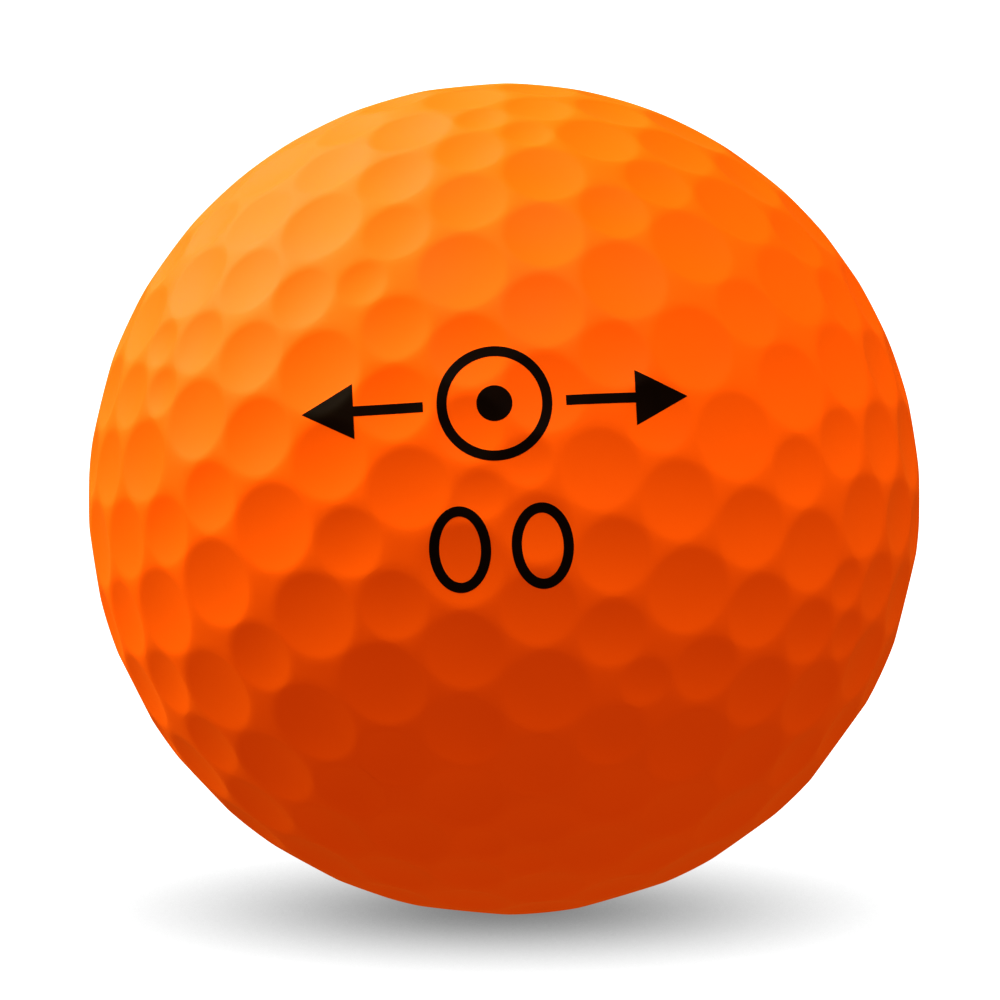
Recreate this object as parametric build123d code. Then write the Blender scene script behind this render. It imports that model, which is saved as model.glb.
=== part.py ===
from build123d import *

import os
from itertools import permutations, product
from math import asin, cos, radians, sin, sqrt, tan

# A two-piece golf ball with 350 round dimples and pad-printed marks. Millimetres and degrees.
# The origin is the ball's centre, +Z is up and the print faces -Y.

# Driving dimensions of the ball.
BALL_DIAMETER = 42.7
CORE_DIAMETER = 39.4

# Each dimple is a shallow spherical bowl. At its rim, the bowl meets the ball at this angle.
RIM_ANGLE = 15.5

# How the dimple pattern and the print lie in the frame.
PRINT_POLE_RISE = 10.8  # the print's centre is this far above the horizon
FRONT_PRINT_ROLL = 2.8  # each print is turned this far anticlockwise about its own centre
BACK_PRINT_ROLL = -1.6
STAMP_ROLL = 2.8
STAMP_TILT = 14.0  # the side stamp is this far behind the ball's top
PRINT_SHIFT = -0.3  # and the two large prints sit this far to the left

# The printed marks, measured flat in the plane that the pad pressed them from.
INK_THICKNESS = 0.04
STROKE = 0.5
MARK_HEIGHT_ABOVE_POLE = 3.8
MARK_LENGTH = 19.4
MARK_RING_DIAMETER = 5.8
MARK_DOT_DIAMETER = 1.8
MARK_GAP = 0.7  # between the ring and each arrow's line
ARROW_HEAD_LENGTH = 2.6
ARROW_HEAD_WIDTH = 2.8
DIGIT_DROP_BELOW_POLE = 3.45
DIGIT_HEIGHT = 4.3
DIGIT_WIDTH = 3.1
DIGIT_PITCH = 4.15
STAMP_LENGTH = 12.0
STAMP_HEAD_LENGTH = 1.6
STAMP_HEAD_WIDTH = 1.7
STAMP_BAR_LENGTH = 5.0
STAMP_BAR_OFFSET = 1.25

BALL_RADIUS = BALL_DIAMETER / 2
CORE_RADIUS = CORE_DIAMETER / 2
CUTTER_MARGIN = 0.03  # a cutter is this much wider than its dimple, to pass through the surface
CUTTER_TOP = BALL_RADIUS + 0.6
INK_REACH = 40.0  # no print reaches as far as this from the middle of its pad

# The pattern has the symmetry of an octahedron, so 48 mirror-image triangles cover the ball. The
# corners of each are on a four-fold, a two-fold and a three-fold axis. Lengths of 1 throughout.
FOUR_FOLD = Vector(1, 0, 0)
TWO_FOLD = Vector(1, 1, 0).normalized()
THREE_FOLD = Vector(1, 1, 1).normalized()

# The pattern's own directions that point to the print's centre and to +X.
PATTERN_FRONT = TWO_FOLD
PATTERN_RIGHT = Vector(-1, 1, -1).normalized()
PATTERN_UP = PATTERN_FRONT.cross(PATTERN_RIGHT)


def along(start, end, angle):
    """The direction at this angle from start, on the great circle towards end."""
    sideways = (end - start * end.dot(start)).normalized()
    return start * cos(radians(angle)) + sideways * sin(radians(angle))


def inside(longitude, latitude):
    """A direction inside the triangle, by longitude from the four-fold axis and latitude."""
    flat = cos(radians(latitude))
    return Vector(
        flat * cos(radians(longitude)),
        flat * sin(radians(longitude)),
        sin(radians(latitude)),
    )


# The twelve dimple families: where one dimple of each lies in the triangle, and its diameter.
DIMPLE_FAMILIES = [
    (FOUR_FOLD, 3.75),
    (along(FOUR_FOLD, TWO_FOLD, 11.7), 4.6),
    (along(FOUR_FOLD, THREE_FOLD, 18.75), 4.6),
    (inside(22.35, 5.2), 3.65),
    (inside(26.25, 16.0), 4.15),
    (inside(33.6, 6.4), 4.25),
    (along(FOUR_FOLD, TWO_FOLD, 41.1), 2.6),
    (along(FOUR_FOLD, THREE_FOLD, 40.9), 4.55),
    (inside(38.5, 17.25), 3.95),
    (along(TWO_FOLD, THREE_FOLD, 8.25), 3.5),
    (along(TWO_FOLD, THREE_FOLD, 26.25), 3.6),
    (THREE_FOLD, 2.65),
]

# The frame's directions to the print's centre, and up from there over the ball's surface.
rise = radians(PRINT_POLE_RISE)
FRONT = Vector(0, -cos(rise), sin(rise))
UP = Vector(0, sin(rise), cos(rise))
RIGHT = Vector(1, 0, 0)
STAMP_SIDE = Vector(0, sin(radians(STAMP_TILT)), cos(radians(STAMP_TILT)))


def into_frame(direction):
    """A direction of the pattern, in the ball's frame."""
    across = RIGHT * direction.dot(PATTERN_RIGHT)
    upward = UP * direction.dot(PATTERN_UP)
    forward = FRONT * direction.dot(PATTERN_FRONT)
    return across + upward + forward


def mirror_images(direction):
    """Every different direction that the octahedron's 48 symmetries carry this one to."""
    found = {}
    for order in permutations(tuple(direction)):
        for signs in product((1, -1), repeat=3):
            image = [value * sign for value, sign in zip(order, signs)]
            key = tuple(round(value, 6) + 0.0 for value in image)
            found[key] = Vector(*image)
    return list(found.values())


def all_dimples():
    """The direction and diameter of every dimple, in the ball's frame."""
    dimples = []
    for direction, diameter in DIMPLE_FAMILIES:
        for image in mirror_images(direction):
            dimples.append((into_frame(image), diameter))
    return dimples


def bowl_sphere(diameter):
    """The height of the centre of a bowl's sphere over the ball's centre, and its radius."""
    rim_radius = diameter / 2
    half_width = asin(rim_radius / BALL_RADIUS)
    depth = rim_radius * tan((radians(RIM_ANGLE) - half_width) / 2)
    radius = (rim_radius**2 + depth**2) / (2 * depth)
    centre = BALL_RADIUS * cos(half_width) - depth + radius
    return centre, radius


def dimple_cutter(diameter, inset=0.0):
    """A plug along +Z whose rounded end is the bowl, made smaller all round by the inset."""
    centre, radius = bowl_sphere(diameter)
    radius -= inset
    width = diameter / 2 - inset + CUTTER_MARGIN
    edge = centre - sqrt(radius**2 - width**2)
    halfway = radius * sin(asin(width / radius) / 2)
    halfway_height = centre - sqrt(radius**2 - halfway**2)
    bottom = (0, centre - radius)
    outline = [
        ThreePointArc(bottom, (halfway, halfway_height), (width, edge)),
        Polyline((width, edge), (width, CUTTER_TOP), (0, CUTTER_TOP), bottom),
    ]
    return revolve(Plane.XZ * make_face(outline), Axis.Z)


def placed_cutters(dimples, inset=0.0):
    """A cutter for each of these dimples, where it lies."""
    shapes = {}
    for direction, diameter in dimples:
        if diameter not in shapes:
            shapes[diameter] = dimple_cutter(diameter, inset)
    return [
        Plane(origin=(0, 0, 0), z_dir=direction) * shapes[diameter]
        for direction, diameter in dimples
    ]


def core():
    """The solid rubber core."""
    return Sphere(CORE_RADIUS)


def cover(dimples):
    """The moulded cover, with its dimples, around the core."""
    shell = Sphere(BALL_RADIUS) - Sphere(CORE_RADIUS)
    return shell - placed_cutters(dimples)


def arrow(start, end, head_length, head_width):
    """A straight stroke that ends in a triangle at end, along X."""
    way = 1 if end > start else -1
    neck = end - way * head_length
    return make_face(
        Polyline(
            (start, STROKE / 2),
            (neck, STROKE / 2),
            (neck, head_width / 2),
            (end, 0),
            (neck, -head_width / 2),
            (neck, -STROKE / 2),
            (start, -STROKE / 2),
            close=True,
        )
    )


def alignment_mark():
    """A ring with a dot in it, between two arrows that point away from it."""
    ring_radius = MARK_RING_DIAMETER / 2
    start = ring_radius + MARK_GAP
    end = MARK_LENGTH / 2
    return [
        Circle(ring_radius) - Circle(ring_radius - STROKE),
        Circle(MARK_DOT_DIAMETER / 2),
        arrow(start, end, ARROW_HEAD_LENGTH, ARROW_HEAD_WIDTH),
        arrow(-start, -end, ARROW_HEAD_LENGTH, ARROW_HEAD_WIDTH),
    ]


def play_number():
    """Two plain upright zeros, side by side."""
    outer = Ellipse(DIGIT_WIDTH / 2, DIGIT_HEIGHT / 2)
    inner = Ellipse(DIGIT_WIDTH / 2 - STROKE, DIGIT_HEIGHT / 2 - STROKE)
    zero = outer - inner
    return [Pos(side * DIGIT_PITCH / 2, 0) * zero for side in (-1, 1)]


def side_stamp():
    """Two arrows that point away from a pair of short bars."""
    start = STAMP_BAR_LENGTH / 2
    end = STAMP_LENGTH / 2
    bar = Rectangle(STAMP_BAR_LENGTH, STROKE)
    return [
        Pos(0, STAMP_BAR_OFFSET / 2) * bar,
        Pos(0, -STAMP_BAR_OFFSET / 2) * bar,
        arrow(start + STROKE, end, STAMP_HEAD_LENGTH, STAMP_HEAD_WIDTH),
        arrow(-start - STROKE, -end, STAMP_HEAD_LENGTH, STAMP_HEAD_WIDTH),
    ]


def ink(shapes, facing, dimples):
    """The ink of these flat shapes, pressed along the facing plane's normal into the dimples."""
    near = [dimple for dimple in dimples if dimple[0].dot(facing.z_dir) > cos(radians(INK_REACH))]
    bare_surface = Sphere(BALL_RADIUS) - placed_cutters(near)
    inked_surface = Sphere(BALL_RADIUS + INK_THICKNESS) - placed_cutters(near, INK_THICKNESS)
    layer = inked_surface - bare_surface
    pieces = []
    for shape in shapes:
        column = extrude(facing * shape, BALL_DIAMETER)
        pieces.append((layer & column).solid())
    return Compound(children=pieces)


def moved(shapes, across, up):
    """These flat shapes, moved within their plane."""
    return [Pos(across, up) * shape for shape in shapes]


def pad_print(facing, right, roll):
    """The plane of a print on this side of the ball, turned as the pad was."""
    level = Plane(origin=(0, 0, 0), x_dir=right, z_dir=facing)
    return level.rotated((0, 0, roll))


dimples = all_dimples()
front_print = pad_print(FRONT, RIGHT, FRONT_PRINT_ROLL)
back_print = pad_print(-FRONT, -RIGHT, BACK_PRINT_ROLL)
stamp_print = pad_print(STAMP_SIDE, RIGHT, STAMP_ROLL)
mark = moved(alignment_mark(), PRINT_SHIFT, MARK_HEIGHT_ABOVE_POLE)
number = moved(play_number(), PRINT_SHIFT, -DIGIT_DROP_BELOW_POLE)

nodes = {
    "core": core(),
    "cover": cover(dimples),
    "front_mark": ink(mark, front_print, dimples),
    "front_number": ink(number, front_print, dimples),
    "back_mark": ink(mark, back_print, dimples),
    "back_number": ink(number, back_print, dimples),
    "side_stamp": ink(side_stamp(), stamp_print, dimples),
}

os.makedirs("parts", exist_ok=True)
for name, shape in nodes.items():
    export_step(shape, f"parts/{name}.step")
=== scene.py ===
"""The looks of a golf ball: a dimpled orange cover and its black prints, on a pale floor.

Everything is in metres in the CAD model's frame: the origin is the ball's centre, +Z is up and the
print faces -Y. The dimple pattern has the symmetry of an octahedron, so the cover is meshed once in
one of the 48 mirror-image triangles that make up the ball, and copied into the others.
"""

from itertools import permutations, product
from math import asin, cos, degrees, pi, radians, sin, tan

import bmesh
import bpy
import numpy as np
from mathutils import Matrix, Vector, geometry


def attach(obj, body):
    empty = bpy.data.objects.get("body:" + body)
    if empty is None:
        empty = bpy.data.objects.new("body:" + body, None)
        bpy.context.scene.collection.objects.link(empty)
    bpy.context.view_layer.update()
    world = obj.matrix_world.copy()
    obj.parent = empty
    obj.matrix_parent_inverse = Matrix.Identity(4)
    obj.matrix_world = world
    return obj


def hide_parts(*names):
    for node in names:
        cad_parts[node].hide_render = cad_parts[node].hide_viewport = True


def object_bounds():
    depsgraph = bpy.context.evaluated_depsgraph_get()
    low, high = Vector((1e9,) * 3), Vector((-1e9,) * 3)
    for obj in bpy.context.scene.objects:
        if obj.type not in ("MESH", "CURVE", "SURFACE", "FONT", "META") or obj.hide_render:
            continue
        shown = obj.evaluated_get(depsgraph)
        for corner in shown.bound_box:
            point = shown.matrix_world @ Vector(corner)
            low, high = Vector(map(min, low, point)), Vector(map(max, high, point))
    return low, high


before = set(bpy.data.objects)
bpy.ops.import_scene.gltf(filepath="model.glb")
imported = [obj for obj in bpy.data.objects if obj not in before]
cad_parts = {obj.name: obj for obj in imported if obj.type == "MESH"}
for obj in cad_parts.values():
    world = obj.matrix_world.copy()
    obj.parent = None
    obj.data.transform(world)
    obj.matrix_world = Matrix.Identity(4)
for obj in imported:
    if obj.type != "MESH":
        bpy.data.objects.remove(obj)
cad_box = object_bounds()

MM = 0.001


def farthest_point(node):
    """How far a CAD node reaches from the ball's centre."""
    return max(vertex.co.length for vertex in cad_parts[node].data.vertices)


BALL_RADIUS = farthest_point("cover")
CORE_RADIUS = farthest_point("core")
FLOOR_HEIGHT = cad_box[0].z  # the ball's lowest point

# The bowls of the dimples meet the ball at this angle, and their rims are rounded this far each way.
RIM_ANGLE = 15.5
RIM_ROUNDING = 0.22 * MM

# The cover's mesh. Each bowl has two rings on its floor, at shares of its half-width, and four
# round its rim. The points of a ring are a multiple of RING_STEP, so that they meet every mirror.
RING_STEP = 24
RING_SPACING = 0.3 * MM
INNER_BOWL_RING = 0.35
OUTER_BOWL_RING = 0.7
SHARE_OF_GAP = 0.42  # how far into the gap between two dimples the outer ring of each may reach
LAND_SPACING = 0.9  # degrees between points on the land between dimples
LAND_ROWS = 45  # more rows of points than it takes to cross the triangle from its middle
EDGE_CLEARANCE = 1.2  # points on the triangle's edges stay this many rim roundings off a rim
INSIDE_SUBDIVISIONS = 5  # of the smooth inside of the cover
SLOPE_STEP = 2e-4  # in radians, for measuring how the surface slopes
ON_EDGE = 1e-9  # a direction this close to a mirror lies on it
MERGE_SIZE = 1e-4 * MM  # points of neighbouring triangles closer than this are one

# The core has a ring round it, ground slightly hollow, where the halves of its mould met.
SEAM_HALF_WIDTH = 3.0  # degrees
SEAM_DEPTH = 0.04 * MM
CORE_RING_POINTS = 72
CORE_RING_SPACING = 2.5  # degrees between the rings of its mesh, and across the seam
SEAM_RING_SPACING = 0.5

# The prints, as in the CAD model.
PRINT_POLE_RISE = 10.8
FRONT_PRINT_ROLL = 2.8
BACK_PRINT_ROLL = -1.6
STAMP_ROLL = 2.8
STAMP_TILT = 14.0  # the side stamp is this far behind the ball's top
PRINT_SHIFT = -0.3 * MM
STROKE = 0.5 * MM
MARK_HEIGHT_ABOVE_POLE = 3.8 * MM
MARK_LENGTH = 19.4 * MM
MARK_RING_DIAMETER = 5.8 * MM
MARK_DOT_DIAMETER = 1.8 * MM
MARK_GAP = 0.7 * MM
ARROW_HEAD_LENGTH = 2.6 * MM
ARROW_HEAD_WIDTH = 2.8 * MM
DIGIT_DROP_BELOW_POLE = 3.45 * MM
DIGIT_HEIGHT = 4.3 * MM
DIGIT_WIDTH = 3.1 * MM
DIGIT_PITCH = 4.15 * MM
STAMP_LENGTH = 12.0 * MM
STAMP_HEAD_LENGTH = 1.6 * MM
STAMP_HEAD_WIDTH = 1.7 * MM
STAMP_BAR_LENGTH = 5.0 * MM
STAMP_BAR_OFFSET = 1.25 * MM

INK_RISE = 0.015 * MM  # the ink's top over the cover
INK_ROOT = 0.02 * MM  # and its underside below the cover's surface
INK_MESH_STEP = 0.14 * MM
CURVE_STEP = 0.1 * MM  # between the points of an inked outline
PRESSING_STEPS = 4  # rounds of finding where a flat point lands on the dimpled cover


def unit(vector):
    """The vector scaled to a length of 1."""
    return vector / np.linalg.norm(vector)


# The corners of the triangle lie on a four-fold, a two-fold and a three-fold axis.
FOUR_FOLD = np.array((1.0, 0.0, 0.0))
TWO_FOLD = unit(np.array((1.0, 1.0, 0.0)))
THREE_FOLD = unit(np.array((1.0, 1.0, 1.0)))

# The frame's directions to the print's centre and up from there over the surface.
RISE = radians(PRINT_POLE_RISE)
FRONT = np.array((0.0, -cos(RISE), sin(RISE)))
UP = np.array((0.0, sin(RISE), cos(RISE)))
RIGHT = np.array((1.0, 0.0, 0.0))
STAMP_SIDE = np.array((0.0, sin(radians(STAMP_TILT)), cos(radians(STAMP_TILT))))

# The pattern's own directions to the print's centre, and to +X, and the turn into the frame.
PATTERN_FRONT = TWO_FOLD
PATTERN_RIGHT = unit(np.array((-1.0, 1.0, -1.0)))
PATTERN_UP = np.cross(PATTERN_FRONT, PATTERN_RIGHT)
INTO_FRAME = np.column_stack((RIGHT, UP, FRONT)) @ np.array((PATTERN_RIGHT, PATTERN_UP, PATTERN_FRONT))


def along(start, end, angle):
    """The direction at this angle from start, on the great circle towards end."""
    sideways = unit(end - start * (end @ start))
    return start * cos(radians(angle)) + sideways * sin(radians(angle))


def inside(longitude, latitude):
    """A direction inside the triangle, by longitude from the four-fold axis and latitude."""
    flat = cos(radians(latitude))
    x, y = flat * cos(radians(longitude)), flat * sin(radians(longitude))
    return np.array((x, y, sin(radians(latitude))))


# The twelve dimple families: where one dimple of each lies in the triangle, a direction that its
# mirror runs in, and its diameter.
DIMPLE_FAMILIES = [
    (FOUR_FOLD, TWO_FOLD, 3.75 * MM),
    (along(FOUR_FOLD, TWO_FOLD, 11.7), TWO_FOLD, 4.6 * MM),
    (along(FOUR_FOLD, THREE_FOLD, 18.75), THREE_FOLD, 4.6 * MM),
    (inside(22.35, 5.2), TWO_FOLD, 3.65 * MM),
    (inside(26.25, 16.0), TWO_FOLD, 4.15 * MM),
    (inside(33.6, 6.4), TWO_FOLD, 4.25 * MM),
    (along(FOUR_FOLD, TWO_FOLD, 41.1), TWO_FOLD, 2.6 * MM),
    (along(FOUR_FOLD, THREE_FOLD, 40.9), THREE_FOLD, 4.55 * MM),
    (inside(38.5, 17.25), TWO_FOLD, 3.95 * MM),
    (along(TWO_FOLD, THREE_FOLD, 8.25), THREE_FOLD, 3.5 * MM),
    (along(TWO_FOLD, THREE_FOLD, 26.25), THREE_FOLD, 3.6 * MM),
    (THREE_FOLD, TWO_FOLD, 2.65 * MM),
]


def octahedral_symmetries():
    """The 48 turns and mirrorings that carry an octahedron onto itself."""
    found = []
    for order in permutations(range(3)):
        for signs in product((1.0, -1.0), repeat=3):
            matrix = np.zeros((3, 3))
            for row, (column, sign) in enumerate(zip(order, signs)):
                matrix[row, column] = sign
            found.append(matrix)
    return found


SYMMETRIES = octahedral_symmetries()


class Dimples:
    """Every dimple of the ball: its centre in the pattern, its half-width and its bowl's sphere."""

    def __init__(self):
        centres, diameters = [], []
        for centre, _, diameter in DIMPLE_FAMILIES:
            images = np.round([matrix @ centre for matrix in SYMMETRIES], 9) + 0.0
            images = np.unique(images, axis=0)
            centres.extend(images)
            diameters.extend([diameter] * len(images))
        self.centres = np.array(centres)
        rim = np.array(diameters) / 2
        self.half_widths = np.arcsin(rim / BALL_RADIUS)
        depth = rim * np.tan((radians(RIM_ANGLE) - self.half_widths) / 2)
        self.bowl_radii = (rim**2 + depth**2) / (2 * depth)
        self.bowl_heights = BALL_RADIUS * np.cos(self.half_widths) - depth + self.bowl_radii

    def angles_from(self, directions):
        """The angle from each direction to each dimple's centre."""
        return np.arccos(np.clip(directions @ self.centres.T, -1, 1))

    def clearance(self, directions):
        """How far outside the nearest rim each direction is, as an angle."""
        return (self.angles_from(directions) - self.half_widths).min(axis=1)

    def radius_at(self, directions):
        """The distance of the cover's surface from the ball's centre in each direction."""
        beyond_rim = self.angles_from(directions) - self.half_widths
        nearest = np.argsort(beyond_rim, axis=1)[:, :2]
        radius = np.full(len(directions), BALL_RADIUS)
        for column in nearest.T:
            radius = rounded_minimum(radius, self.bowl_at(directions, column))
        return radius

    def bowl_at(self, directions, chosen):
        """The distance from the ball's centre to the sphere of each direction's chosen bowl."""
        cosine = (directions * self.centres[chosen]).sum(axis=1)
        height = self.bowl_heights[chosen]
        under_root = self.bowl_radii[chosen] ** 2 - height**2 * (1 - cosine**2)
        reached = under_root > 0
        distance = height * cosine - np.sqrt(np.where(reached, under_root, 0))
        return np.where(reached & (cosine > 0), distance, 2 * BALL_RADIUS)


def rounded_minimum(first, second):
    """The smaller of two heights, with the corner where they cross rounded."""
    blend = RIM_ROUNDING * tan(radians(RIM_ANGLE))
    overlap = np.clip(1 - np.abs(first - second) / blend, 0, 1)
    return np.minimum(first, second) - overlap**2 * blend / 4


dimples = Dimples()


def surface_normals(directions):
    """The cover's outward normal in each direction, in the pattern."""
    far_from_x = np.abs(directions[:, :1]) < 0.6
    helper = np.where(far_from_x, (1.0, 0.0, 0.0), (0.0, 1.0, 0.0))
    first = np.cross(directions, helper)
    first /= np.linalg.norm(first, axis=1, keepdims=True)
    second = np.cross(directions, first)
    normals = directions * dimples.radius_at(directions)[:, None]
    for tangent in (first, second):
        ahead, behind = directions + SLOPE_STEP * tangent, directions - SLOPE_STEP * tangent
        ahead /= np.linalg.norm(ahead, axis=1, keepdims=True)
        behind /= np.linalg.norm(behind, axis=1, keepdims=True)
        slope = (dimples.radius_at(ahead) - dimples.radius_at(behind)) / (2 * SLOPE_STEP)
        normals -= tangent * slope[:, None]
    return normals / np.linalg.norm(normals, axis=1, keepdims=True)


def in_triangle(directions):
    """Which directions lie in the triangle or on its edges."""
    x, y, z = directions.T
    return (z > -ON_EDGE) & (y - z > -ON_EDGE) & (x - y > -ON_EDGE)


def ring(centre, mirror, angle, count):
    """Directions round a circle of this angle, the first of them towards the mirror direction."""
    across = unit(mirror - centre * (mirror @ centre))
    aside = np.cross(centre, across)
    turns = 2 * pi * np.arange(count) / count
    circle = np.outer(np.cos(turns), across) + np.outer(np.sin(turns), aside)
    return cos(angle) * centre + sin(angle) * circle


def dimple_rings(centre, mirror, diameter):
    """The rings of one dimple, from the middle of its bowl to the far edge of its rounded rim."""
    half_width = asin(diameter / 2 / BALL_RADIUS)
    others = dimples.angles_from(centre[None])[0] - dimples.half_widths
    gap = np.sort(others)[1] - half_width
    rounding = RIM_ROUNDING / BALL_RADIUS
    outer = min(rounding, SHARE_OF_GAP * gap)
    count = RING_STEP * max(1, round(pi * diameter / RING_SPACING / RING_STEP))
    angles = [half_width * OUTER_BOWL_RING, half_width - rounding, half_width - rounding / 3]
    angles += [half_width + outer / 3, half_width + outer]
    inner_ring = ring(centre, mirror, half_width * INNER_BOWL_RING, count // 2)
    return [inner_ring] + [ring(centre, mirror, angle, count) for angle in angles]


class TriangleMesh:
    """Points and edges on one triangle of the pattern, meshed flat after a gnomonic projection."""

    def __init__(self):
        self.points = []
        self.edges = []
        self.middle = unit(FOUR_FOLD + TWO_FOLD + THREE_FOLD)
        self.across = unit(TWO_FOLD - self.middle * (TWO_FOLD @ self.middle))
        self.aside = np.cross(self.middle, self.across)

    def add_point(self, point):
        """Adds one direction and returns its number."""
        self.points.append(point)
        return len(self.points) - 1

    def add_ring(self, points):
        """Adds the part of a closed ring that lies in the triangle, with its edges."""
        held = in_triangle(points)
        numbers = [self.add_point(point) if keep else None for point, keep in zip(points, held)]
        for number, following in zip(numbers, numbers[1:] + numbers[:1]):
            if number is not None and following is not None:
                self.edges.append((number, following))

    def add_dimple(self, centre, mirror, diameter):
        """Adds a dimple's middle and rings."""
        self.add_point(centre)
        for points in dimple_rings(centre, mirror, diameter):
            self.add_ring(points)

    def add_land(self):
        """Adds points between the dimples, along the triangle's edges and inside it."""
        rounding = RIM_ROUNDING / BALL_RADIUS
        spacing = radians(LAND_SPACING)
        self.add_point(TWO_FOLD)
        for start, end in ((FOUR_FOLD, TWO_FOLD), (FOUR_FOLD, THREE_FOLD), (TWO_FOLD, THREE_FOLD)):
            span = np.arccos(start @ end)
            count = round(span / spacing)
            places = [along(start, end, degrees(span * step / count)) for step in range(1, count)]
            self.add_clear(places, EDGE_CLEARANCE * rounding)
        mirrors = [np.array((0.0, 0.0, 1.0)), np.array((0.0, 1.0, -1.0)), np.array((1.0, -1.0, 0.0))]
        mirrors = [unit(mirror) for mirror in mirrors]
        places = []
        for row in range(-LAND_ROWS, LAND_ROWS + 1):
            upward = spacing * row * sin(pi / 3)
            for column in range(-LAND_ROWS, LAND_ROWS + 1):
                sideways = spacing * (column + row % 2 / 2)
                place = unit(self.middle + tan(sideways) * self.across + tan(upward) * self.aside)
                if min(place @ mirror for mirror in mirrors) > spacing / 3:
                    places.append(place)
        self.add_clear(places, rounding + spacing / 4)

    def add_clear(self, places, clearance):
        """Adds those of these directions that are at least this far outside every rim."""
        places = np.array(places)
        for place in places[dimples.clearance(places) > clearance]:
            self.add_point(place)

    def outline(self):
        """The numbers of the points along the triangle's edges, in order round it."""
        points = np.array(self.points)
        x, y, z = points.T
        from_four = np.arccos(np.clip(points @ FOUR_FOLD, -1, 1))
        from_two = np.arccos(np.clip(points @ TWO_FOLD, -1, 1))
        first = np.flatnonzero(np.abs(z) < ON_EDGE)
        second = np.flatnonzero(np.abs(x - y) < ON_EDGE)
        third = np.flatnonzero(np.abs(y - z) < ON_EDGE)
        path = list(first[np.argsort(from_four[first])])
        path += list(second[np.argsort(from_two[second])])[1:]
        path += list(third[np.argsort(-from_four[third])])[1:-1]
        return [int(number) for number in path]

    def triangles(self):
        """The meshed triangle's corner numbers, anticlockwise from outside."""
        points = np.array(self.points)
        depth = points @ self.middle
        flat = np.column_stack((points @ self.across, points @ self.aside)) / depth[:, None]
        return flat_triangles(flat, self.edges, [self.outline()])


def flat_triangles(flat, edges, outlines):
    """Triangles between these flat points that keep the edges, anticlockwise, within the outlines."""
    corners = [Vector(point) for point in flat]
    result = geometry.delaunay_2d_cdt(corners, edges, outlines, 1, 1e-9)
    _, _, faces, sources, _, _ = result
    faces = np.array([[sources[corner][0] for corner in face] for face in faces])
    first, second, third = flat[faces[:, 0]], flat[faces[:, 1]], flat[faces[:, 2]]
    one, other = second - first, third - first
    clockwise = one[:, 0] * other[:, 1] < one[:, 1] * other[:, 0]
    faces[clockwise] = faces[clockwise][:, ::-1]
    return faces


def new_object(name, vertices, faces, corner_normals):
    """A smooth mesh object with the given normal at each face's each corner."""
    mesh = bpy.data.meshes.new(name)
    mesh.from_pydata(vertices.tolist(), [], faces.tolist())
    mesh.polygons.foreach_set("use_smooth", np.ones(len(faces), bool))
    mesh.validate()
    mesh.normals_split_custom_set(corner_normals.reshape(-1, 3).tolist())
    piece = bpy.data.objects.new(name, mesh)
    bpy.context.scene.collection.objects.link(piece)
    return piece


def outer_surface():
    """The dimpled surface: its points, its triangles and the normal at each point."""
    patch = TriangleMesh()
    for centre, mirror, diameter in DIMPLE_FAMILIES:
        patch.add_dimple(centre, mirror, diameter)
    patch.add_land()
    directions = np.array(patch.points)
    triangles = patch.triangles()
    normals = surface_normals(directions)
    points = directions * dimples.radius_at(directions)[:, None]
    all_points, all_normals, all_triangles = [], [], []
    for number, symmetry in enumerate(SYMMETRIES):
        turn = INTO_FRAME @ symmetry
        mirrored = np.linalg.det(symmetry) < 0
        all_points.append(points @ turn.T)
        all_normals.append(normals @ turn.T)
        all_triangles.append((triangles[:, ::-1] if mirrored else triangles) + number * len(points))
    all_points, all_normals = np.vstack(all_points), np.vstack(all_normals)
    keys = np.round(all_points / MERGE_SIZE).astype(np.int64)
    _, kept, places = np.unique(keys, axis=0, return_index=True, return_inverse=True)
    places = places.ravel()
    return all_points[kept], places[np.vstack(all_triangles)], all_normals[kept]


def inner_surface():
    """The smooth inside of the cover, facing the core."""
    builder = bmesh.new()
    bmesh.ops.create_icosphere(builder, subdivisions=INSIDE_SUBDIVISIONS, radius=CORE_RADIUS)
    points = np.array([vertex.co[:] for vertex in builder.verts])
    triangles = np.array([[vertex.index for vertex in face.verts] for face in builder.faces])[:, ::-1]
    builder.free()
    return points, triangles, -points / CORE_RADIUS


def build_cover():
    """The moulded cover as a closed shell."""
    outer_points, outer_triangles, outer_normals = outer_surface()
    inner_points, inner_triangles, inner_normals = inner_surface()
    points = np.vstack((outer_points, inner_points))
    triangles = np.vstack((outer_triangles, inner_triangles + len(outer_points)))
    normals = np.vstack((outer_normals, inner_normals))
    return new_object("dimpled_cover", points, triangles, normals[triangles])


def core_profile(latitude):
    """The core's radius at this many degrees from its seam, and how fast it grows per radian."""
    across_seam = min(max(latitude / SEAM_HALF_WIDTH, -1), 1)
    radius = CORE_RADIUS - SEAM_DEPTH * cos(across_seam * pi / 2) ** 2
    growth = SEAM_DEPTH * sin(across_seam * pi) * pi / 2 / radians(SEAM_HALF_WIDTH)
    return radius, growth


def core_latitudes():
    """Where the rings of the core's mesh lie, in degrees from its seam."""
    seam = np.arange(-SEAM_HALF_WIDTH, SEAM_HALF_WIDTH + SEAM_RING_SPACING / 2, SEAM_RING_SPACING)
    half_step = CORE_RING_SPACING / 2
    upper = np.arange(SEAM_HALF_WIDTH + half_step, 90 - half_step, CORE_RING_SPACING)
    return np.concatenate((-upper[::-1], seam, upper))


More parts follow.
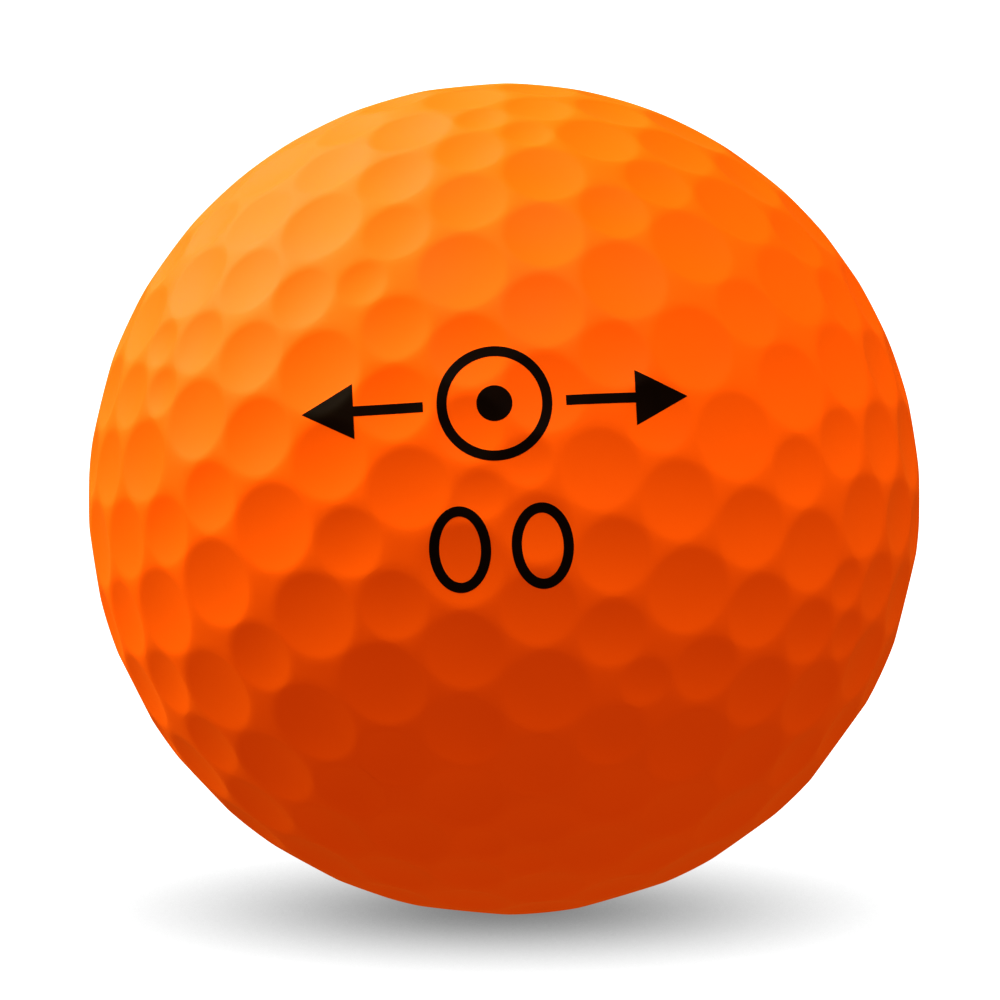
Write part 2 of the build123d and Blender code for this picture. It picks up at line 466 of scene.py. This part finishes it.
def ring_triangles(ring_points, ring_count):
    """The triangles of a closed stack of rings, whose last two points are its lower and upper pole."""
    last_ring = ring_points * (ring_count - 1)
    lower_pole = ring_points * ring_count
    upper_pole = lower_pole + 1
    triangles = []
    for place in range(ring_points):
        beside = (place + 1) % ring_points
        triangles.append((lower_pole, beside, place))
        triangles.append((upper_pole, last_ring + place, last_ring + beside))
        for below in range(0, last_ring, ring_points):
            above = below + ring_points
            triangles.append((below + place, below + beside, above + beside))
            triangles.append((below + place, above + beside, above + place))
    return np.array(triangles)


def build_core():
    """The rubber core, as a stack of rings from pole to pole."""
    turns = 2 * pi * np.arange(CORE_RING_POINTS) / CORE_RING_POINTS
    around = np.column_stack((np.cos(turns), np.sin(turns), np.zeros(CORE_RING_POINTS)))
    pole = np.array((0.0, 0.0, 1.0))
    latitudes = core_latitudes()
    points, normals = [], []
    for latitude in latitudes:
        radius, growth = core_profile(latitude)
        flat, rise = cos(radians(latitude)), sin(radians(latitude))
        outward = flat * around + rise * pole
        points.append(radius * outward)
        normals.append(radius * outward - growth * (flat * pole - rise * around))
    poles = CORE_RADIUS * np.array((-pole, pole))
    points, normals = np.vstack(points + [poles]), np.vstack(normals + [poles])
    normals /= np.linalg.norm(normals, axis=1, keepdims=True)
    triangles = ring_triangles(CORE_RING_POINTS, len(latitudes))
    return new_object("rubber_core", points, triangles, normals[triangles])


# --- The prints ---------------------------------------------------------------------------------


def ellipse(width, height):
    """Points round an ellipse about the origin."""
    count = round(pi * max(width, height) / CURVE_STEP)
    turns = 2 * pi * np.arange(count) / count
    return np.column_stack((width / 2 * np.cos(turns), height / 2 * np.sin(turns)))


def polygon(corners):
    """The closed outline through these corners, with points along its sides."""
    corners = np.array(corners)
    points = []
    for start, end in zip(corners, np.roll(corners, -1, axis=0)):
        count = max(1, round(np.linalg.norm(end - start) / CURVE_STEP))
        points += [start + (end - start) * step / count for step in range(count)]
    return np.array(points)


def arrow(start, end, head_length, head_width):
    """The outline of a straight stroke that ends in a triangle at end, along X."""
    way = 1 if end > start else -1
    neck = end - way * head_length
    upper = [(start, STROKE / 2), (neck, STROKE / 2), (neck, head_width / 2)]
    lower = [(x, -y) for x, y in reversed(upper)]
    return polygon(upper + [(end, 0)] + lower)


def bar(length, offset):
    """The outline of a straight stroke along X, this far from the middle."""
    ends = [(-length / 2, 1), (length / 2, 1), (length / 2, -1), (-length / 2, -1)]
    return polygon([(x, offset + side * STROKE / 2) for x, side in ends])


def alignment_mark():
    """A ring with a dot in it, between two arrows, each as an outline and the hole in it."""
    inner = MARK_RING_DIAMETER - 2 * STROKE
    start = MARK_RING_DIAMETER / 2 + MARK_GAP
    return [
        (ellipse(MARK_RING_DIAMETER, MARK_RING_DIAMETER), ellipse(inner, inner)),
        (ellipse(MARK_DOT_DIAMETER, MARK_DOT_DIAMETER), None),
        (arrow(start, MARK_LENGTH / 2, ARROW_HEAD_LENGTH, ARROW_HEAD_WIDTH), None),
        (arrow(-start, -MARK_LENGTH / 2, ARROW_HEAD_LENGTH, ARROW_HEAD_WIDTH), None),
    ]


def play_number():
    """Two plain upright zeros, side by side."""
    outer = ellipse(DIGIT_WIDTH, DIGIT_HEIGHT)
    inner = ellipse(DIGIT_WIDTH - 2 * STROKE, DIGIT_HEIGHT - 2 * STROKE)
    return [moved((outer, inner), side * DIGIT_PITCH / 2, 0) for side in (-1, 1)]


def side_stamp():
    """Two arrows that point away from a pair of short bars."""
    start = STAMP_BAR_LENGTH / 2 + STROKE
    return [
        (bar(STAMP_BAR_LENGTH, STAMP_BAR_OFFSET / 2), None),
        (bar(STAMP_BAR_LENGTH, -STAMP_BAR_OFFSET / 2), None),
        (arrow(start, STAMP_LENGTH / 2, STAMP_HEAD_LENGTH, STAMP_HEAD_WIDTH), None),
        (arrow(-start, -STAMP_LENGTH / 2, STAMP_HEAD_LENGTH, STAMP_HEAD_WIDTH), None),
    ]


def moved(shape, across, up):
    """An outline and its hole, moved within their plane."""
    outer, hole = shape
    shift = np.array((across, up))
    return outer + shift, None if hole is None else hole + shift


def is_within(points, outline):
    """Which flat points lie within a closed outline, by counting the sides above each."""
    within = np.zeros(len(points), bool)
    for start, end in zip(outline, np.roll(outline, -1, axis=0)):
        beside = (start[0] > points[:, 0]) != (end[0] > points[:, 0])
        if start[0] != end[0]:
            share = (points[:, 0] - start[0]) / (end[0] - start[0])
            within ^= beside & (start[1] + share * (end[1] - start[1]) > points[:, 1])
    return within


def is_anticlockwise(outline):
    """Whether a closed outline runs anticlockwise."""
    x, y = outline.T
    return (x * np.roll(y, -1)).sum() > (y * np.roll(x, -1)).sum()


def filled(shape):
    """A flat shape's points, triangles and edges, as numbered loops with the ink on their left."""
    outer, hole = shape
    holes = [] if hole is None else [hole]
    outlines = [outer] + holes
    low, high = outer.min(axis=0), outer.max(axis=0)
    columns = np.arange(low[0], high[0], INK_MESH_STEP)
    rows = np.arange(low[1], high[1], INK_MESH_STEP)
    grid = np.array([(x, y) for x in columns for y in rows])
    edge_points = np.vstack(outlines)
    apart = np.linalg.norm(grid[:, None] - edge_points[None], axis=2).min(axis=1)
    inked = is_within(grid, outer) & (apart > INK_MESH_STEP / 2)
    for outline in holes:
        inked &= ~is_within(grid, outline)
    points = np.vstack((edge_points, grid[inked]))
    loops, first = [], 0
    for outline in outlines:
        loop = [first + number for number in range(len(outline))]
        if is_anticlockwise(outline) != (outline is outer):
            loop.reverse()
        loops.append(loop)
        first += len(outline)
    edges = [pair for loop in loops for pair in zip(loop, loop[1:] + loop[:1])]
    triangles = flat_triangles(points / MM, edges, loops[:1])
    middles = points[triangles].mean(axis=1)
    for outline in holes:
        triangles = triangles[~is_within(middles, outline)]
    return points, triangles, loops


def print_axes(facing, right, roll):
    """The directions across, up and out of a print on this side of the ball, rolled."""
    upward = np.cross(facing, right)
    turn = radians(roll)
    across = cos(turn) * right + sin(turn) * upward
    return across, np.cross(facing, across), facing


def on_ball(flat, axes, height):
    """Where flat points land on the cover when pressed straight onto it, raised by this height."""
    across, upward, outward = axes
    sideways = flat[:, :1] * across + flat[:, 1:] * upward
    offset = (flat**2).sum(axis=1)
    radius = np.full(len(flat), BALL_RADIUS)
    for _ in range(PRESSING_STEPS):
        points = sideways + np.sqrt(radius**2 - offset)[:, None] * outward
        directions = points / np.linalg.norm(points, axis=1, keepdims=True)
        radius = dimples.radius_at(directions @ INTO_FRAME) + height
    return directions * radius[:, None], directions


def ink_layer(shape, axes):
    """One inked shape as a closed layer: its points, triangles and corner normals."""
    flat, triangles, loops = filled(shape)
    top, directions = on_ball(flat, axes, INK_RISE)
    bottom, _ = on_ball(flat, axes, -INK_ROOT)
    top_normals = surface_normals(directions @ INTO_FRAME) @ INTO_FRAME.T
    count = len(flat)
    walls = []
    for loop in loops:
        for start, end in zip(loop, loop[1:] + loop[:1]):
            walls += [(start, start + count, end + count), (start, end + count, end)]
    walls = np.array(walls)
    points = np.vstack((top, bottom))
    first, second, third = points[walls[:, 0]], points[walls[:, 1]], points[walls[:, 2]]
    wall_normals = np.cross(second - first, third - first)
    wall_normals /= np.linalg.norm(wall_normals, axis=1, keepdims=True)
    faces = np.vstack((triangles, triangles[:, ::-1] + count, walls))
    underside_normals = -top_normals[triangles[:, ::-1]]
    corner_normals = np.repeat(wall_normals[:, None], 3, axis=1)
    normals = np.concatenate((top_normals[triangles], underside_normals, corner_normals))
    return points, faces, normals


def build_print(name, shapes, axes):
    """One node's ink, as a closed layer for each of its shapes."""
    points, faces, normals = [], [], []
    first = 0
    for shape in shapes:
        layer_points, layer_faces, layer_normals = ink_layer(shape, axes)
        points.append(layer_points)
        faces.append(layer_faces + first)
        normals.append(layer_normals)
        first += len(layer_points)
    return new_object(name, np.vstack(points), np.vstack(faces), np.concatenate(normals))


def build_prints():
    """Every print of the ball, by the name of the CAD node that it stands for."""
    mark = [moved(shape, PRINT_SHIFT, MARK_HEIGHT_ABOVE_POLE) for shape in alignment_mark()]
    number = [moved(shape, PRINT_SHIFT, -DIGIT_DROP_BELOW_POLE) for shape in play_number()]
    front = print_axes(FRONT, RIGHT, FRONT_PRINT_ROLL)
    back = print_axes(-FRONT, -RIGHT, BACK_PRINT_ROLL)
    stamp = print_axes(STAMP_SIDE, RIGHT, STAMP_ROLL)
    layout = {
        "front_mark": (mark, front),
        "front_number": (number, front),
        "back_mark": (mark, back),
        "back_number": (number, back),
        "side_stamp": (side_stamp(), stamp),
    }
    return {node: build_print(node + "_ink", *layout[node]) for node in layout}


# --- Materials ----------------------------------------------------------------------------------


NOISE_RANGE = (0.3, 0.7)  # where nearly all of a noise texture's values lie
PATCH_RANGE = (0.35, 0.65)  # and where its colours change
MATTE_GLOSS = 0.16  # specular level of the matte paint


def new_material(name):
    """A node material and its shader."""
    material = bpy.data.materials.new(name)
    material.use_nodes = True
    return material, material.node_tree.nodes["Principled BSDF"]


def add_noise(material, size, detail):
    """A noise texture in the object's own coordinates, with features of about this size."""
    nodes, links = material.node_tree.nodes, material.node_tree.links
    place = nodes.new("ShaderNodeTexCoord")
    noise = nodes.new("ShaderNodeTexNoise")
    noise.inputs["Scale"].default_value = 1 / size
    noise.inputs["Detail"].default_value = detail
    links.new(place.outputs["Object"], noise.inputs["Vector"])
    return noise.outputs["Fac"]


def add_bump(material, shader, height, depth):
    """Bumps of this depth on the shader, from a height between 0 and 1."""
    nodes, links = material.node_tree.nodes, material.node_tree.links
    bump = nodes.new("ShaderNodeBump")
    bump.inputs["Strength"].default_value = 1
    bump.inputs["Distance"].default_value = depth
    links.new(height, bump.inputs["Height"])
    links.new(bump.outputs["Normal"], shader.inputs["Normal"])


def add_range(material, value, low, high, target):
    """Drives a socket from a noise value, spread between low and high."""
    nodes, links = material.node_tree.nodes, material.node_tree.links
    spread = nodes.new("ShaderNodeMapRange")
    spread.inputs["From Min"].default_value = NOISE_RANGE[0]
    spread.inputs["From Max"].default_value = NOISE_RANGE[1]
    spread.inputs["To Min"].default_value = low
    spread.inputs["To Max"].default_value = high
    links.new(value, spread.inputs["Value"])
    links.new(spread.outputs["Result"], target)


def add_colours(material, shader, value, first, second):
    """Varies the shader's colour between two as a noise value goes from low to high."""
    nodes, links = material.node_tree.nodes, material.node_tree.links
    ramp = nodes.new("ShaderNodeValToRGB")
    for stop, place, colour in zip(ramp.color_ramp.elements, PATCH_RANGE, (first, second)):
        stop.position = place
        stop.color = (*colour, 1)
    links.new(value, ramp.inputs["Fac"])
    links.new(ramp.outputs["Color"], shader.inputs["Base Color"])


def cover_material():
    """Matte fluorescent orange paint."""
    material, shader = new_material("orange_cover")
    shader.inputs["Specular IOR Level"].default_value = MATTE_GLOSS
    mottle = add_noise(material, 6 * MM, 3)
    add_colours(material, shader, mottle, (0.94, 0.177, 0.0), (0.96, 0.183, 0.0))
    add_range(material, mottle, 0.57, 0.63, shader.inputs["Roughness"])
    add_bump(material, shader, add_noise(material, 0.12 * MM, 2), 0.002 * MM)
    return material


def ink_material():
    """Thin black pad-printing ink, a little uneven."""
    material, shader = new_material("black_ink")
    shader.inputs["Specular IOR Level"].default_value = MATTE_GLOSS / 2
    patches = add_noise(material, 1.2 * MM, 3)
    add_colours(material, shader, patches, (0.0075, 0.0023, 0.0003), (0.0105, 0.0033, 0.0005))
    add_range(material, patches, 0.56, 0.64, shader.inputs["Roughness"])
    add_bump(material, shader, add_noise(material, 0.08 * MM, 2), 0.001 * MM)
    return material


def core_material():
    """Moulded rubber with specks of filler."""
    material, shader = new_material("core_rubber")
    specks = add_noise(material, 0.8 * MM, 4)
    add_colours(material, shader, specks, (0.3, 0.35, 0.4), (0.4, 0.45, 0.5))
    add_range(material, specks, 0.7, 0.8, shader.inputs["Roughness"])
    add_bump(material, shader, specks, 0.01 * MM)
    return material


def floor_material():
    """A floor that glows by emission, with a painted contact shadow: darker by how much of the sky the
    ball hides from it.
    """
    material = bpy.data.materials.new("floor_painted_shadow")
    material.use_nodes = True
    nodes, links = material.node_tree.nodes, material.node_tree.links
    nodes.clear()
    openness = nodes.new("ShaderNodeAmbientOcclusion")
    openness.samples = SKY_SAMPLES
    openness.inputs["Distance"].default_value = FLOOR_SIZE
    shade = nodes.new("ShaderNodeMapRange")
    shade.clamp = False
    shade.inputs["To Min"].default_value = SHADOW_BRIGHTNESS
    shade.inputs["To Max"].default_value = FLOOR_BRIGHTNESS
    # Painted shadow: the floor emits its own light, dimmed where the ball hides the sky, and no lamp
    # lights it.
    painted_glow = nodes.new("ShaderNodeEmission")
    output = nodes.new("ShaderNodeOutputMaterial")
    links.new(openness.outputs["AO"], shade.inputs["Value"])
    links.new(shade.outputs["Result"], painted_glow.inputs["Strength"])
    links.new(painted_glow.outputs["Emission"], output.inputs["Surface"])
    return material


# --- The stage ----------------------------------------------------------------------------------

COLOUR_A, COLOUR_B, COLOUR_RESULT = 6, 7, 2  # the sockets of a Mix node set to colour

FLOOR_SIZE = 6.0
# How bright the floor glows in the open, and in its painted contact shadow.
FLOOR_BRIGHTNESS = 1.03
SHADOW_BRIGHTNESS = 0.21  # where the ball hides the whole sky
SKY_SAMPLES = 16

CAMERA_RISE = 8.0
CAMERA_DISTANCE = 0.83
BALL_SHARE = 0.8315  # of the frame's width
BALL_RIGHT = 0.0041  # how far the ball sits right of the frame's middle, and above it
BALL_ABOVE = 0.0011

COOL = (1.0, 0.85, 1.6)
NEUTRAL = (1.0, 1.0, 1.0)
WARM = (1.0, 0.95, 0.5)
SUNNY = (1.0, 1.07, 0.7)

# Soft boxes: azimuth (0 is behind the camera, 90 to its right), rise, watts and colour.
SOFTBOXES = {
    "key": (-105, 37, 5.6, SUNNY),
    "sheen": (-140, 42, 2.2, COOL),
    "top": (12, 70, 3.7, NEUTRAL),
    "fill": (100, 35, 0.9, WARM),
    "bounce": (30, -70, 0.4, WARM),
}
SOFTBOX_DISTANCE = 0.8
SOFTBOX_SIZE = 0.6
SURROUND_LIGHT = (0.38, 0.22, 0.05)


def towards(azimuth, rise):
    """The direction at this azimuth from the camera's side, this far above the horizon."""
    turn, lift = radians(azimuth), radians(rise)
    return Vector((sin(turn) * cos(lift), -cos(turn) * cos(lift), sin(lift)))


def build_floor():
    """A large flat floor under the ball, which neither lights the ball nor shades it."""
    builder = bmesh.new()
    bmesh.ops.create_grid(builder, x_segments=8, y_segments=8, size=FLOOR_SIZE / 2)
    mesh = bpy.data.meshes.new("floor")
    builder.to_mesh(mesh)
    builder.free()
    floor = bpy.data.objects.new("floor", mesh)
    floor.location.z = FLOOR_HEIGHT
    floor.data.materials.append(floor_material())
    bpy.context.scene.collection.objects.link(floor)
    floor.visible_diffuse = False
    floor.visible_glossy = False
    floor.visible_shadow = False


def add_softbox(name, azimuth, rise, power, colour):
    """A round area light that faces the ball."""
    light = bpy.data.lights.new(name, "AREA")
    light.shape = "DISK"
    light.size = SOFTBOX_SIZE
    light.energy = power
    light.color = colour
    lamp = bpy.data.objects.new(name, light)
    direction = towards(azimuth, rise)
    lamp.location = direction * SOFTBOX_DISTANCE
    lamp.rotation_euler = direction.to_track_quat("Z", "Y").to_euler()
    bpy.context.scene.collection.objects.link(lamp)


def add_world():
    """An even surround, white to the camera and a dim warm light to the ball."""
    world = bpy.data.worlds.new("surround")
    world.use_nodes = True
    nodes, links = world.node_tree.nodes, world.node_tree.links
    path = nodes.new("ShaderNodeLightPath")
    blend = nodes.new("ShaderNodeMix")
    blend.data_type = "RGBA"
    blend.inputs[COLOUR_A].default_value = (*SURROUND_LIGHT, 1)
    blend.inputs[COLOUR_B].default_value = (1, 1, 1, 1)
    links.new(path.outputs["Is Camera Ray"], blend.inputs["Factor"])
    links.new(blend.outputs[COLOUR_RESULT], nodes["Background"].inputs["Color"])
    bpy.context.scene.world = world


def add_camera():
    """The camera, aimed at the ball from a little above."""
    lens = bpy.data.cameras.new("camera")
    angular_radius = asin(BALL_RADIUS / CAMERA_DISTANCE)
    lens.sensor_width = 36
    lens.lens = lens.sensor_width * BALL_SHARE / 2 / tan(angular_radius)
    lens.shift_x = -BALL_RIGHT
    lens.shift_y = -BALL_ABOVE
    lens.clip_start = 0.01
    camera = bpy.data.objects.new("camera", lens)
    direction = towards(0, CAMERA_RISE)
    camera.location = direction * CAMERA_DISTANCE
    camera.rotation_euler = direction.to_track_quat("Z", "Y").to_euler()
    bpy.context.scene.collection.objects.link(camera)
    bpy.context.scene.camera = camera


def dress_frame():
    """Gives every piece its material and its body, and hides the CAD node that it stands for."""
    ink = ink_material()
    cover = build_cover()
    cover.data.materials.append(cover_material())
    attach(cover, "root")
    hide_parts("cover")
    for node, piece in build_prints().items():
        piece.data.materials.append(ink)
        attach(piece, "root")
        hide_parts(node)
    core = build_core()
    core.data.materials.append(core_material())
    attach(core, "root")
    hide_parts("core")


dress_frame()
build_floor()
for name, settings in SOFTBOXES.items():
    add_softbox(name, *settings)
add_world()
add_camera()
bpy.context.scene.view_settings.view_transform = "Standard"
bpy.context.scene.view_settings.look = "High Contrast"
